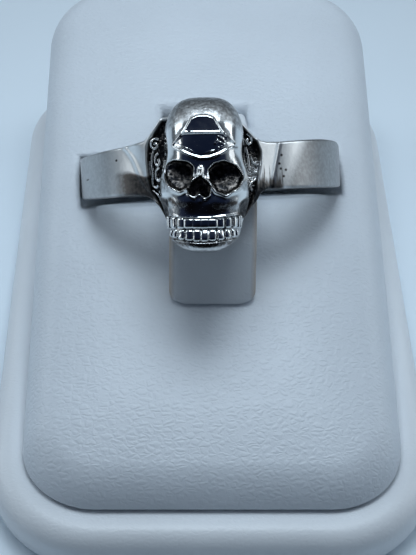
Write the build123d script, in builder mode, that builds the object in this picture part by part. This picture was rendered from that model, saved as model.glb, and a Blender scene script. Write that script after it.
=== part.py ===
from build123d import *

import math
import os

os.makedirs("parts", exist_ok=True)

# Skull ring held on a small sloping display stand.
# Millimetres. The stand stands on z = 0, its low edge towards the viewer at -Y, +X to the viewer's right.

# Display stand
pad_width = 30.0
pad_length = 51.7
pad_front = 2.6         # height of the pad's face over the base, at its low edge
pad_slope = 13.0        # degrees that the face rises towards the back
pad_corner = 6.0        # corner radius, seen from above
pad_round = 2.0         # soft rounding of the face's edge
pad_foot_round = 0.4
base_margin = 2.75      # the base shows this much all round the pad
base_height = 4.0
base_round = 1.7
base_foot_round = 0.8

# Ring: the finger band
bore_radius = 9.9
band_wall = 1.3
band_width = 4.0        # along the finger, beside the skull
band_width_back = 3.0
band_edge_round = 0.2
ring_along = 3.05       # middle of the ring, from the stand's middle towards the back
ring_sunk = 0.13        # middle of the ring under the pad's face
ring_lean = 44.5        # degrees that the finger hole's axis leans back from upright
ring_tilt = -3.1        # degrees that the left end hangs lower than the right
ring_spin = -3.3        # degrees that the skull is turned round the finger
slit_clearance = 0.15   # between the ring and the pad's slit
slit_mouth = 1.4        # how much more the band has pushed the slit open at its front lip

# Ring: the collar behind the skull
collar_wall = 2.4       # metal in front of the bore at the collar
collar_high = 3.9       # collar's top over the band's middle
collar_low = 6.2        # collar's bottom under it
collar_plan = 8.6       # width of the collar, seen along the finger
collar_flare = 12.4     # width where the band's face starts to flare
collar_flare_high = 10  # width where its upper edges do
collar_flare_low = 11   # width where its lower edges do
collar_crown = 6.2      # width at the collar's top
collar_chin = 5.8       # width at the collar's bottom
flare_sag_face = 0.35   # how far the flared face curves in, seen along the finger
flare_sag_high = 0.18   # the same for the edges, over and under the band
flare_sag_low = 0.55
collar_corner = 0.5
recess_width = 1.5      # blackened hollow with scrolls on each flank of the collar
recess_height = 5.6
recess_middle = 3.9     # from the middle of the ring to the hollow's middle
recess_depth = 0.6
scroll_radius = 0.42
scroll_wire = 0.13
scroll_levels = (1.45, -0.15, -1.75)

# Ring: the skull
skull_width = 6.7
skull_height = 11.8
skull_reach = 6.7       # how far the face stands out from the bore
skull_chin = 6.85       # chin under the band's middle
skull_roll = 2.0        # degrees that the skull stands upright against the band's tilt
socket_depth = 1.5
nose_depth = 1.0
tooth_gap = 0.12
tooth_gap_depth = 0.3
teeth_across = 8
teeth_spread = 116.0    # degrees that the row of teeth covers round the jaw
temple_radius = 3.2
temple_depth = 0.3
cheek_radius = 1.5
cheek_depth = 0.45

# Clip: a covered strip that goes through the ring
tongue_width = 6.9
tongue_thick = 1.5
tongue_corner = 1.0
tongue_foot = -9.3      # its end in front of the ring, from the stand's middle
tongue_root = 10.0      # where it goes into the pad
tongue_depth = 3.0      # length inside the pad
tongue_clearance = 0.4  # to the ring
foot_clearance = 0.2    # to the pad's face and the walls of its slot
crest_length = 6.0      # stretch that lies along the inside of the ring
tongue_bend = 3.0
tongue_bend_root = 2.5

slope = math.radians(pad_slope)
lean = math.radians(ring_lean)


def face_height(along):
    """Height of the pad's face over the table, at a distance from the stand's middle."""
    return base_height + pad_front + (along + pad_length / 2) * math.tan(slope)


base_width = pad_width + 2 * base_margin
base_length = pad_length + 2 * base_margin
band_outer = bore_radius + band_wall
collar_reach = bore_radius + collar_wall
ring_height = face_height(ring_along) - ring_sunk

# Planes: the pad's face, then the ring, with Z along the finger hole and -Y to the viewer
face_plane = Plane(
    origin=(0, -pad_length / 2, face_height(-pad_length / 2)),
    x_dir=(1, 0, 0),
    z_dir=(0, -math.sin(slope), math.cos(slope)),
)
ring_place = Location((0, ring_along, ring_height), (-ring_lean, 0, 0))
ring_place = ring_place * Location((0, 0, 0), (0, ring_tilt, ring_spin))
ring_plane = Plane(ring_place)
side_plane = Plane(ring_plane.origin, x_dir=-ring_plane.y_dir, z_dir=-ring_plane.x_dir)

# The skull's planes: seen from its crown, from its front and from its side
skull_plane = Plane(ring_place * Location((0, 0, 0), (0, skull_roll, 0)))
front_plane = Plane(skull_plane.origin, x_dir=skull_plane.x_dir, z_dir=-skull_plane.y_dir)
cheek_plane = Plane(skull_plane.origin, x_dir=-skull_plane.y_dir, z_dir=-skull_plane.x_dir)


# Base: a covered plate with a soft edge
with BuildPart() as stand_base:
    with BuildSketch():
        RectangleRounded(base_width, base_length, pad_corner + base_margin)
    extrude(amount=base_height)
    fillet(stand_base.edges().group_by(Axis.Z)[-1], base_round)
    fillet(stand_base.edges().group_by(Axis.Z)[0], base_foot_round)

# Slit: the leaning hollow that the back half of the ring has pushed open in the pad
with BuildPart() as slit:
    with BuildSketch(ring_plane):
        Circle(band_outer + slit_clearance)
    extrude(amount=band_width, both=True)
    with BuildSketch(side_plane):
        with BuildLine():
            Polyline(
                (-band_outer - slit_clearance, -band_width_back / 2 - slit_clearance),
                (band_outer, -band_width / 2 - slit_mouth),
                (band_outer, band_width / 2 + slit_clearance),
                (-band_outer - slit_clearance, band_width_back / 2 + slit_clearance),
                close=True,
            )
        make_face()
    extrude(amount=band_outer + slit_clearance, both=True, mode=Mode.INTERSECT)

# Pad: a wedge with a soft edge, a slit for the back of the ring and a slot for the root of the clip
with BuildPart() as stand_pad:
    with BuildSketch(Plane.XY.offset(base_height)):
        RectangleRounded(pad_width, pad_length, pad_corner)
    extrude(amount=face_height(pad_length / 2))
    split(bisect_by=face_plane, keep=Keep.BOTTOM)
    fillet(stand_pad.faces().sort_by(Axis.Z)[-1].edges(), pad_round)
    fillet(stand_pad.faces().sort_by(Axis.Z)[0].edges(), pad_foot_round)
    add(slit.part, mode=Mode.SUBTRACT)
    with BuildSketch(Plane.XY.offset(face_height(tongue_root) - tongue_depth - foot_clearance)):
        with Locations((0, tongue_root)):
            Rectangle(tongue_width + 2 * foot_clearance, tongue_thick + 2 * foot_clearance)
    extrude(amount=tongue_depth + pad_length, mode=Mode.SUBTRACT)

# Clip: it leaves its slot, lies along the inside of the ring and drops to the pad in front of it
crest = math.sqrt(bore_radius**2 - (tongue_width / 2) ** 2) - tongue_clearance - tongue_thick / 2
crest_middle = (ring_along - crest * math.cos(lean), ring_height + crest * math.sin(lean))
crest_low = (
    crest_middle[0] - collar_low * math.sin(lean),
    crest_middle[1] - collar_low * math.cos(lean),
)
crest_high = (
    crest_low[0] + crest_length * math.sin(lean),
    crest_low[1] + crest_length * math.cos(lean),
)
with BuildPart() as ring_tongue:
    with BuildSketch(Plane.YZ):
        with BuildLine():
            FilletPolyline(
                (tongue_foot, face_height(tongue_foot) - tongue_thick),
                crest_low,
                crest_high,
                (tongue_root, face_height(tongue_root) + tongue_thick),
                (tongue_root, face_height(tongue_root) - tongue_depth),
                radius=(tongue_bend, tongue_bend, tongue_bend_root),
            )
        trace(line_width=tongue_thick)
        with BuildLine():
            Polyline(
                (-pad_length / 2, face_height(-pad_length / 2) + foot_clearance),
                (0, face_height(0) + foot_clearance),
                (0, 0),
                (-pad_length / 2, 0),
                close=True,
            )
        make_face(mode=Mode.SUBTRACT)
    extrude(amount=tongue_width / 2, both=True)
    foot = ring_tongue.faces().filter_by(face_plane).sort_by(Axis.Y)[0]
    fillet(foot.edges().filter_by(Axis.X, reverse=True), tongue_corner)

# Finger band: a hoop that is narrower at the back of the finger
with BuildPart() as band:
    with BuildSketch(ring_plane):
        Circle(band_outer)
    extrude(amount=band_width / 2, both=True)
    with BuildSketch(side_plane):
        with BuildLine():
            Polyline(
                (-band_outer, -band_width_back / 2),
                (band_outer, -band_width / 2),
                (band_outer, band_width / 2),
                (-band_outer, band_width_back / 2),
                close=True,
            )
        make_face()
    extrude(amount=band_outer, both=True, mode=Mode.INTERSECT)
    fillet(band.edges().filter_by(GeomType.LINE, reverse=True), band_edge_round)

# Collar: a shield behind the skull, which the band's edges and its face flare up to
with BuildPart() as collar:
    with BuildSketch(front_plane):
        with BuildLine():
            for side in (-1, 1):
                high_start = (side * collar_flare_high / 2, band_width / 2)
                high_end = (side * collar_crown / 2, collar_high)
                low_start = (side * collar_flare_low / 2, -band_width / 2)
                low_end = (side * collar_chin / 2, -collar_low)
                Polyline(
                    high_start,
                    (side * collar_flare / 2, band_width / 2),
                    (side * collar_flare / 2, -band_width / 2),
                    low_start,
                )
                SagittaArc(high_start, high_end, side * flare_sag_high)
                SagittaArc(low_start, low_end, -side * flare_sag_low)
            Line((-collar_crown / 2, collar_high), (collar_crown / 2, collar_high))
            Line((-collar_chin / 2, -collar_low), (collar_chin / 2, -collar_low))
        make_face()
    extrude(amount=collar_reach)
    with BuildSketch(skull_plane.offset(-collar_low)):
        with BuildLine():
            for side in (-1, 1):
                start = (side * collar_flare / 2, -math.sqrt(band_outer**2 - (collar_flare / 2) ** 2))
                end = (side * collar_plan / 2, collar_corner - collar_reach)
                SagittaArc(start, end, -side * flare_sag_face)
                Line(end, (side * (collar_plan / 2 - collar_corner), -collar_reach))
                Line((0, 0), start)
            corner = (collar_plan / 2 - collar_corner, -collar_reach)
            Line((-corner[0], corner[1]), corner)
        make_face()
    extrude(amount=collar_low + collar_high, mode=Mode.INTERSECT)
    with BuildSketch(front_plane.offset(collar_reach - recess_depth)):
        with Locations((-recess_middle, 0), (recess_middle, 0)):
            Ellipse(recess_width / 2, recess_height / 2)
    extrude(amount=collar_reach, mode=Mode.SUBTRACT)
    for side in (-1, 1):
        for level in scroll_levels:
            with BuildSketch(front_plane.offset(collar_reach - recess_depth)):
                with Locations((side * recess_middle, level)):
                    Circle(scroll_radius + scroll_wire)
                    Circle(scroll_radius - scroll_wire, mode=Mode.SUBTRACT)
            extrude(amount=recess_depth, both=True)

# Skull: smooth sections from the chin up, as shares of its height, width and reach
skull_sections = [
    # level, width, front
    (0.000, 0.30, 0.72),
    (0.040, 0.60, 0.86),
    (0.100, 0.78, 0.93),
    (0.190, 0.83, 0.95),
    (0.290, 0.84, 0.93),
    (0.370, 0.95, 0.94),
    (0.480, 1.00, 0.96),
    (0.580, 0.95, 0.96),
    (0.690, 0.92, 0.97),
    (0.800, 0.91, 0.93),
    (0.880, 0.84, 0.85),
    (0.935, 0.70, 0.76),
    (0.975, 0.48, 0.66),
    (1.000, 0.16, 0.54),
]

# Ridges that stand out of it: rows from the middle of the face outwards, as shares of the half width,
# the height and the reach, with the ridge's thickness as a share of the half width
brow_rows = [
    # across, level, front, thick
    (0.00, 0.575, 0.93, 0.13),
    (0.35, 0.625, 0.91, 0.15),
    (0.70, 0.620, 0.80, 0.15),
    (0.95, 0.560, 0.60, 0.10),
]
cheek_rows = [
    # across, level, front, thick
    (0.28, 0.385, 0.93, 0.08),
    (0.60, 0.360, 0.83, 0.13),
    (0.86, 0.400, 0.68, 0.14),
    (0.95, 0.480, 0.55, 0.10),
]

# Hollows: the eye sockets, the nose and the rows of teeth, with places as shares of the half width and the
# height, and sizes as shares of the width and the height
face_flat = 0.95        # share of the reach that the flat of the face has
eye_rows = [
    # across, level, width, height
    (-0.52, 0.496, 0.35, 0.19),
    (0.485, 0.483, 0.41, 0.22),
]
socket_shares = (0.8, 1.0, 1.2)     # a socket's size at its floor, at the face and in front of it
nose_level, nose_width, nose_height, nose_corner = 0.415, 0.25, 0.145, 0.05
mouth_level, tooth_height = 0.131, 0.072
temple_across, temple_level, temple_front = 0.92, 0.61, 0.5
cheek_across, cheek_level, cheek_front = 0.88, 0.25, 0.6

section_turns = [math.radians(30 * k) for k in range(12)]
with BuildPart() as skull:
    for level, width, front in skull_sections:
        half, reach = width * skull_width / 2, front * skull_reach
        with BuildSketch(skull_plane.offset(level * skull_height - skull_chin)):
            with BuildLine():
                Spline(
                    [
                        (half * math.sin(turn), (math.cos(turn) - 1) * reach / 2 - bore_radius)
                        for turn in section_turns
                    ],
                    periodic=True,
                )
            make_face()
    loft()

with BuildPart() as ridges:
    for rows in (brow_rows, cheek_rows):
        for side in (-1, 1):
            for across, level, front, thick in rows:
                with BuildSketch(cheek_plane.offset(-side * across * skull_width / 2)):
                    with Locations((bore_radius + front * skull_reach, level * skull_height - skull_chin)):
                        Circle(thick * skull_width / 2)
            loft()

with BuildPart() as hollows:
    # eye sockets, which taper inwards, and the nose
    for across, level, width, height in eye_rows:
        socket_floor = bore_radius + skull_reach * face_flat - socket_depth
        for step, share in enumerate(socket_shares):
            with BuildSketch(front_plane.offset(socket_floor + step * socket_depth)):
                with Locations((across * skull_width / 2, level * skull_height - skull_chin)):
                    Ellipse(share * width * skull_width / 2, share * height * skull_height / 2)
        loft()
    with BuildSketch(front_plane.offset(bore_radius + skull_reach - nose_depth)):
        with BuildLine():
            nose_foot = (nose_level - nose_height / 2) * skull_height - skull_chin
            nose_half = nose_width * skull_width / 2
            Polyline(
                (0, nose_foot + nose_height * skull_height),
                (-nose_half, nose_foot),
                (nose_half, nose_foot),
                close=True,
            )
        nose = make_face()
        fillet(nose.vertices(), nose_corner * skull_width)
    extrude(amount=skull_reach)
    # temples, and the hollows under the cheekbones
    for side in (-1, 1):
        temple = (
            side * (temple_across * skull_width / 2 + temple_radius - temple_depth),
            -bore_radius - skull_reach * temple_front,
            temple_level * skull_height - skull_chin,
        )
        cheek = (
            side * (cheek_across * skull_width / 2 + cheek_radius - cheek_depth),
            -bore_radius - skull_reach * cheek_front,
            cheek_level * skull_height - skull_chin,
        )
        with Locations(skull_plane.from_local_coords(temple)):
            Sphere(temple_radius)
        with Locations(skull_plane.from_local_coords(cheek)):
            Sphere(cheek_radius)
    # gaps between the teeth, spread round the jaw
    jaw_reach = skull_reach * face_flat / 2
    with BuildSketch(skull_plane.offset((mouth_level - tooth_height) * skull_height - skull_chin)):
        with Locations((0, -bore_radius - jaw_reach)):
            with PolarLocations(
                jaw_reach,
                teeth_across + 1,
                start_angle=-90 - teeth_spread / 2,
                angular_range=teeth_spread,
                endpoint=True,
            ):
                Rectangle(2 * tooth_gap_depth, tooth_gap)
    extrude(amount=2 * tooth_height * skull_height)

# The ring in one casting: skull, collar and band, bored through for the finger
with BuildPart() as skull_ring:
    add(skull.part)
    add(ridges.part)
    add(hollows.part, mode=Mode.SUBTRACT)
    add(band.part)
    add(collar.part)
    with BuildSketch(ring_plane):
        Circle(bore_radius)
    extrude(amount=skull_height, both=True, mode=Mode.SUBTRACT)

pieces = {
    "stand_base": stand_base,
    "stand_pad": stand_pad,
    "ring_tongue": ring_tongue,
    "skull_ring": skull_ring,
}
for name, piece in pieces.items():
    piece.part.label = name
    export_step(piece.part, f"parts/{name}.step")
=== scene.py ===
import math

import bpy
import numpy as np
from mathutils import Matrix, Vector


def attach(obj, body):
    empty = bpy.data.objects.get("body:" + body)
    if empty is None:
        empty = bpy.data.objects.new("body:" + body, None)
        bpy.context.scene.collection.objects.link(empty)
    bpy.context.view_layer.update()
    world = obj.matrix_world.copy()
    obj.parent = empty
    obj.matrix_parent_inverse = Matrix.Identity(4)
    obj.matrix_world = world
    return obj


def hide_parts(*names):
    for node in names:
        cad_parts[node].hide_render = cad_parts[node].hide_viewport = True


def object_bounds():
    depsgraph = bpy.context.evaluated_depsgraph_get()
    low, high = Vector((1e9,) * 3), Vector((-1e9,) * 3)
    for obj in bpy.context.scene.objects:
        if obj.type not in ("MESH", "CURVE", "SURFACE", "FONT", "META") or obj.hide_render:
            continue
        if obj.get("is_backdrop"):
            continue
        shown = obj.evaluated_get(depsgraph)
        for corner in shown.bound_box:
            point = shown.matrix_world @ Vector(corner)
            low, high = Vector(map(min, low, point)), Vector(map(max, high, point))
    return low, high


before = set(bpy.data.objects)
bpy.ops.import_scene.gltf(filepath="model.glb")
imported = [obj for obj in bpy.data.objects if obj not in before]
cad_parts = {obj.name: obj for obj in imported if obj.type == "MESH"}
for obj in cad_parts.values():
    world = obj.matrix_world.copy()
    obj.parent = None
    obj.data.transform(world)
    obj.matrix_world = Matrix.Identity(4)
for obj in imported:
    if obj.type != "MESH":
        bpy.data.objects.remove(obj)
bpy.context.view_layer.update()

# Base: the plate under the pad. It is card wrapped in smooth white leatherette, with a soft lip that shows
# all round the pad. The wrapped edge is rounded on top and sinks a little next to the pad.
MM = 0.001  # sizes are written in millimetres, and the scene is in metres
BASE_WIDTH, BASE_LENGTH, BASE_HEIGHT = 35.5, 57.2, 4.0
BASE_CORNER = 8.75
BASE_PROFILE = [  # how far in from the outer edge, height
    (0.80, 0.00), (0.40, 0.11), (0.11, 0.40), (0.00, 0.80), (0.00, 1.60), (0.02, 2.30), (0.10, 2.80),
    (0.30, 3.22), (0.58, 3.56), (0.92, 3.80), (1.28, 3.94), (1.60, 3.99), (1.95, 3.98), (2.30, 3.92),
    (2.65, 3.84), (3.10, 3.78), (5.00, 3.76),
]


def plate_outline(width, length, corner, per_corner=14, per_side=24):
    """A rounded rectangle's points, anticlockwise seen from above."""
    sides = ((1, 1), (-1, 1), (-1, -1), (1, -1))
    centres = [Vector((sx * (width / 2 - corner), sy * (length / 2 - corner))) for sx, sy in sides]
    points = []
    for turn, centre in enumerate(centres):
        for k in range(per_corner + 1):
            a = math.radians(90 * (turn + k / per_corner))
            points.append(centre + corner * Vector((math.cos(a), math.sin(a))))
        a = math.radians(90 * (turn + 1))
        start, end = points[-1].copy(), centres[(turn + 1) % 4] + corner * Vector((math.cos(a), math.sin(a)))
        points += [start.lerp(end, k / per_side) for k in range(1, per_side)]
    return points


def placed(name, data):
    """A new object in the scene, at its origin."""
    item = bpy.data.objects.new(name, data)
    bpy.context.scene.collection.objects.link(item)
    return item


def formed_piece(name, points, faces, material):
    """A smooth mesh piece from points in millimetres in the stand's frame."""
    mesh = bpy.data.meshes.new(name)
    face_list = faces if isinstance(faces, list) else faces.tolist()
    mesh.from_pydata((np.asarray(points) * MM).tolist(), [], face_list)
    mesh.materials.append(material)
    mesh.shade_smooth()
    mesh.update()
    return placed(name, mesh)


def add_node(tree, kind, output, inputs=None, **settings):
    """Adds a node, its inputs set to values or joined to other outputs, and returns the output named."""
    node = tree.nodes.new(kind)
    for name, value in settings.items():
        setattr(node, name, value)
    for name, value in (inputs or {}).items():
        if isinstance(value, bpy.types.NodeSocket):
            tree.links.new(value, node.inputs[name])
        else:
            node.inputs[name].default_value = value
    return node.outputs[output]


def add_ramp(tree, value, stops, blend="LINEAR"):
    """Adds a colour for each value, blended between the stops."""
    ramp = tree.nodes.new("ShaderNodeValToRGB")
    ramp.color_ramp.interpolation = blend
    while len(ramp.color_ramp.elements) < len(stops):
        ramp.color_ramp.elements.new(0.5)
    for element, (position, colour) in zip(ramp.color_ramp.elements, stops):
        element.position = position
        element.color = (*colour, 1)
    tree.links.new(value, ramp.inputs["Fac"])
    return ramp.outputs["Color"]


def new_material(name, settings):
    """A material, its tree and its shader, whose inputs are set as given."""
    material = bpy.data.materials.new(name)
    material.use_nodes = True
    shader = material.node_tree.nodes["Principled BSDF"]
    for title, value in settings.items():
        shader.inputs[title].default_value = value
    return material, material.node_tree, shader


def leatherette(name, colour, grain, depth, rough, sheen):
    """Pale coated cover material: fine pebbles with creases between them, slightly cloudy in colour."""
    coat = {"Roughness": rough, "Specular IOR Level": 0.45, "Sheen Weight": sheen, "Sheen Roughness": 0.5}
    material, tree, shader = new_material(name, coat)
    place = add_node(tree, "ShaderNodeTexCoord", "Object")
    # The cover is drawn across the stand, which makes its pebbles and creases longer that way.
    stretch = {0: place, 1: (0.62, 1.0, 1.0)}
    drawn = add_node(tree, "ShaderNodeVectorMath", "Vector", stretch, operation="MULTIPLY")
    wavy = {"Vector": place, "Scale": 700 / grain, "Detail": 2}
    swirl = add_node(tree, "ShaderNodeTexNoise", "Color", wavy)
    pull = {0: swirl, 1: [0.0012 * grain] * 3, 2: drawn}
    pulled = add_node(tree, "ShaderNodeVectorMath", "Vector", pull, operation="MULTIPLY_ADD")
    cells = {"Vector": pulled, "Scale": 1000 / grain}
    to_crease = add_node(tree, "ShaderNodeTexVoronoi", "Distance", cells, feature="DISTANCE_TO_EDGE")
    rise = {"Value": to_crease, "From Max": 0.38}
    pebble = add_node(tree, "ShaderNodeMapRange", "Result", rise, interpolation_type="SMOOTHSTEP")
    finer = {"Vector": drawn, "Scale": 300 / grain, "Detail": 5, "Roughness": 0.6}
    wrinkles = add_node(tree, "ShaderNodeTexNoise", "Fac", finer)
    blend = {"Factor": 0.6, "A": pebble, "B": wrinkles}
    height = add_node(tree, "ShaderNodeMix", "Result", blend, data_type="FLOAT")
    relief_of = {"Strength": 1.0, "Distance": depth * MM, "Height": height}
    tree.links.new(add_node(tree, "ShaderNodeBump", "Normal", relief_of), shader.inputs["Normal"])
    clouds = add_node(tree, "ShaderNodeTexNoise", "Fac", {"Vector": place, "Scale": 90, "Detail": 3})
    tone = add_ramp(tree, clouds, [(0.3, [c * 0.92 for c in colour]), (0.75, colour)])
    tree.links.new(tone, shader.inputs["Base Color"])
    return material


base_rings = []
for inset, z in BASE_PROFILE:
    outline = plate_outline(BASE_WIDTH - 2 * inset, BASE_LENGTH - 2 * inset, max(BASE_CORNER - inset, 1))
    base_rings.append([(x, y, z) for x, y in outline])
outline_size = len(base_rings[0])
top_start = (len(base_rings) - 1) * outline_size
base_points = [p for ring in base_rings for p in ring]
base_faces = []
for ring_start in range(0, top_start, outline_size):
    for k in range(outline_size):
        here, beside = ring_start + k, ring_start + (k + 1) % outline_size
        base_faces.append((here, beside, beside + outline_size, here + outline_size))
base_faces.append(tuple(range(outline_size))[::-1])
base_faces.append(tuple(top_start + k for k in range(outline_size)))
base_leather = leatherette(
    "white base leatherette", (0.82, 0.86, 0.90), grain=0.4, depth=0.02, rough=0.36, sheen=0.05
)
base = formed_piece("base_cover", base_points, base_faces, base_leather)
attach(base, "root")
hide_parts("stand_base")

# Pad: a wedge of firm foam wrapped in fine-grained white leatherette, glued down on the base. The ring's
# back half has pushed a leaning slit open in it, and the clip's root goes down in a short slot behind it.
PAD_WIDTH, PAD_LENGTH, PAD_CORNER = 30.0, 51.7, 6.0
PAD_ROUND = 2.8
PAD_FOOT_ROUND = 0.35
PAD_CROWN, PAD_CROWN_RUN = 0.75, 8.0  # how far the face sinks at its edges, and over which distance
PAD_SLOPE = math.radians(13)
PAD_FRONT = 6.6  # height of the face over the table at the low edge
PAD_STEP = 0.24  # size of the cover's quads
SLIT_RADIUS = 11.35
SLIT_TOP = (1.90, -0.022)  # height over the band's middle, and its gain for a millimetre further back
SLIT_FOOT = (-2.52, 0.078)  # the same for its lower side
SLIT_LIP, SLOT_LIP = 0.55, 0.95  # rounding of the cover where it is drawn in
SLOT_X, SLOT_Y, SLOT_DEPTH = -0.45, 9.00, 2.2
SLOT_HALF_WIDTH, SLOT_HALF_LENGTH = 3.78, 0.92
RING_CENTRE = Vector((0, 3.05, 13.142))
RING_TURN = (
    Matrix.Rotation(math.radians(-44.5), 3, "X")
    @ Matrix.Rotation(math.radians(-3.1), 3, "Y")
    @ Matrix.Rotation(math.radians(-3.3), 3, "Z")
)
ring_axes = np.array(RING_TURN, float)


def soft_cut(a, b, k):
    """Solid a less solid b, with the lip rounded over k. Both are distances, less than 0 inside."""
    h = np.clip(0.5 - 0.5 * (a + b) / k, 0, 1)
    return a * (1 - h) - b * h + k * h * (1 - h)


def rounded_both(a, b, r):
    """What is inside both a and b, with the edge where they meet rounded by r."""
    return np.minimum(np.maximum(a, b), -r) + np.hypot(np.maximum(a + r, 0), np.maximum(b + r, 0))


def pad_distance(x, y, z):
    """Distance to the pad's cover, less than 0 inside."""
    past_x, past_y = np.abs(x) - (PAD_WIDTH / 2 - PAD_CORNER), np.abs(y) - (PAD_LENGTH / 2 - PAD_CORNER)
    past_corner = np.hypot(np.maximum(past_x, 0), np.maximum(past_y, 0))
    side = past_corner + np.minimum(np.maximum(past_x, past_y), 0) - PAD_CORNER
    face = (z - PAD_FRONT - (y + PAD_LENGTH / 2) * math.tan(PAD_SLOPE)) * math.cos(PAD_SLOPE)
    face = face + PAD_CROWN * np.clip(1 + side / PAD_CROWN_RUN, 0, 1) ** 2
    block = rounded_both(rounded_both(side, face, PAD_ROUND), BASE_HEIGHT - z, PAD_FOOT_ROUND)
    from_ring = np.broadcast_arrays(x, y - RING_CENTRE.y, z - RING_CENTRE.z)
    turned = ring_axes.T @ np.stack([v.ravel() for v in from_ring])
    ring_x, ring_y, ring_z = turned.reshape((3,) + from_ring[0].shape)
    high = SLIT_TOP[0] + SLIT_TOP[1] * ring_y
    low = SLIT_FOOT[0] + SLIT_FOOT[1] * ring_y
    slit = np.maximum(np.maximum(np.hypot(ring_x, ring_y) - SLIT_RADIUS, ring_z - high), low - ring_z)
    block = soft_cut(block, slit, SLIT_LIP)
    slot = np.maximum(np.abs(x - SLOT_X) - SLOT_HALF_WIDTH, np.abs(y - SLOT_Y) - SLOT_HALF_LENGTH)
    return soft_cut(block, np.maximum(slot, -face - SLOT_DEPTH), SLOT_LIP)


def slope_of(distance, points, small):
    """The direction away from the surface at each point."""
    slope = np.empty_like(points)
    for k in range(3):
        step = np.zeros(3)
        step[k] = small
        slope[:, k] = (distance(*(points + step).T) - distance(*(points - step).T)) / (2 * small)
    return slope


def skin(distance, low, high, step):
    """Quads over the surface where the distance is 0, settled on it, as points and faces."""
    axes = [np.arange(a, b + step, step) for a, b in zip(low, high)]
    size = np.array([len(a) for a in axes])
    field = np.empty(size)
    for k, z in enumerate(axes[2]):
        field[:, :, k] = distance(axes[0][:, None], axes[1][None, :], np.full((1, 1), z))
    cells, places, quads = [], [], []
    for axis in range(3):
        side_a, side_b = (axis + 1) % 3, (axis + 2) % 3
        here, there = [slice(None)] * 3, [slice(None)] * 3
        here[axis], there[axis] = slice(0, -1), slice(1, None)
        a, b = field[tuple(here)], field[tuple(there)]
        found = np.argwhere((a < 0) != (b < 0))
        first, second = [(found[:, s] > 0) & (found[:, s] < size[s] - 1) for s in (side_a, side_b)]
        found = found[first & second]
        before, after = a[tuple(found.T)], b[tuple(found.T)]
        point = found.astype(float)
        point[:, axis] += before / (before - after)
        corners = []
        for back_a, back_b in ((1, 1), (0, 1), (0, 0), (1, 0)):
            cell = found.copy()
            cell[:, side_a] -= back_a
            cell[:, side_b] -= back_b
            number = np.ravel_multi_index(tuple(cell.T), tuple(size))
            corners.append(number)
            cells.append(number)
            places.append(point)
        corners = np.stack(corners, 1)
        quads.append(np.where((before < 0)[:, None], corners, corners[:, ::-1]))
    used, index = np.unique(np.concatenate(cells), return_inverse=True)
    places = np.concatenate(places)
    count = np.bincount(index)
    points = np.stack([np.bincount(index, places[:, k]) / count for k in range(3)], 1) * step + np.array(low)
    faces = np.searchsorted(used, np.concatenate(quads))
    for _ in range(3):
        away = slope_of(distance, points, step * 0.2)
        move = away * (distance(*points.T) / np.maximum((away**2).sum(1), 1e-6))[:, None]
        length = np.linalg.norm(move, axis=1, keepdims=True)
        points = points - move * np.minimum(1, 0.5 * step / np.maximum(length, 1e-9))
    return points, faces


half_box = (PAD_WIDTH / 2 + 0.5, PAD_LENGTH / 2 + 0.5)
pad_low, pad_high = (-half_box[0], -half_box[1], 3.6), (*half_box, 19.0)
pad_points, pad_faces = skin(pad_distance, pad_low, pad_high, PAD_STEP)
pad_leather = leatherette(
    "white pad leatherette", (0.70, 0.755, 0.815), grain=0.43, depth=0.048, rough=0.39, sheen=0.05
)
pad = formed_piece("pad_cover", pad_points, pad_faces, pad_leather)
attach(pad, "root")
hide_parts("stand_pad")

# Clip: a springy strip covered in matte cloth. It comes out of its slot behind the ring, lies along the
# inside of the band behind the skull, and drops in front of it. Its round-cornered end stands on the pad.
CLIP_WIDTH, CLIP_THICK = 7.05, 1.5
CLIP_END_CORNER = 1.0
CLIP_EDGE = 0.45  # rounding of its long edges
CLIP_STEP = 0.22  # length of the mesh's steps along it
CLIP_ROUTE = [  # across, along the stand, height
    (0, -9.45, 10.22), (0, -7.12, 14.46), (0, -2.88, 18.69), (-0.42, 9.00, 14.45), (-0.42, 9.00, 11.60)
]
CLIP_BEND = 2.8
CLIP_BROWN_EDGES = (3.05, 3.45)  # from its middle: where the brown of the long edges starts, and is full


def new_tree(name, settings):
    """An empty Geometry Nodes tree with the settings named, and the outputs of its input node."""
    tree = bpy.data.node_groups.new(name, "GeometryNodeTree")
    tree.interface.new_socket("Geometry", in_out="INPUT", socket_type="NodeSocketGeometry")
    for title, kind in settings:
        tree.interface.new_socket(title, in_out="INPUT", socket_type="NodeSocket" + kind)
    tree.interface.new_socket("Geometry", in_out="OUTPUT", socket_type="NodeSocketGeometry")
    return tree, tree.nodes.new("NodeGroupInput").outputs


def end_tree(tree, geometry, material):
    """Ends a tree: what it made is smooth, real and in its material."""
    smooth = add_node(tree, "GeometryNodeSetShadeSmooth", "Geometry", {"Geometry": geometry})
    real = add_node(tree, "GeometryNodeRealizeInstances", "Geometry", {"Geometry": smooth})
    coat = {"Geometry": real, "Material": material}
    coated = add_node(tree, "GeometryNodeSetMaterial", "Geometry", coat)
    tree.links.new(coated, tree.nodes.new("NodeGroupOutput").inputs["Geometry"])


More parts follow.
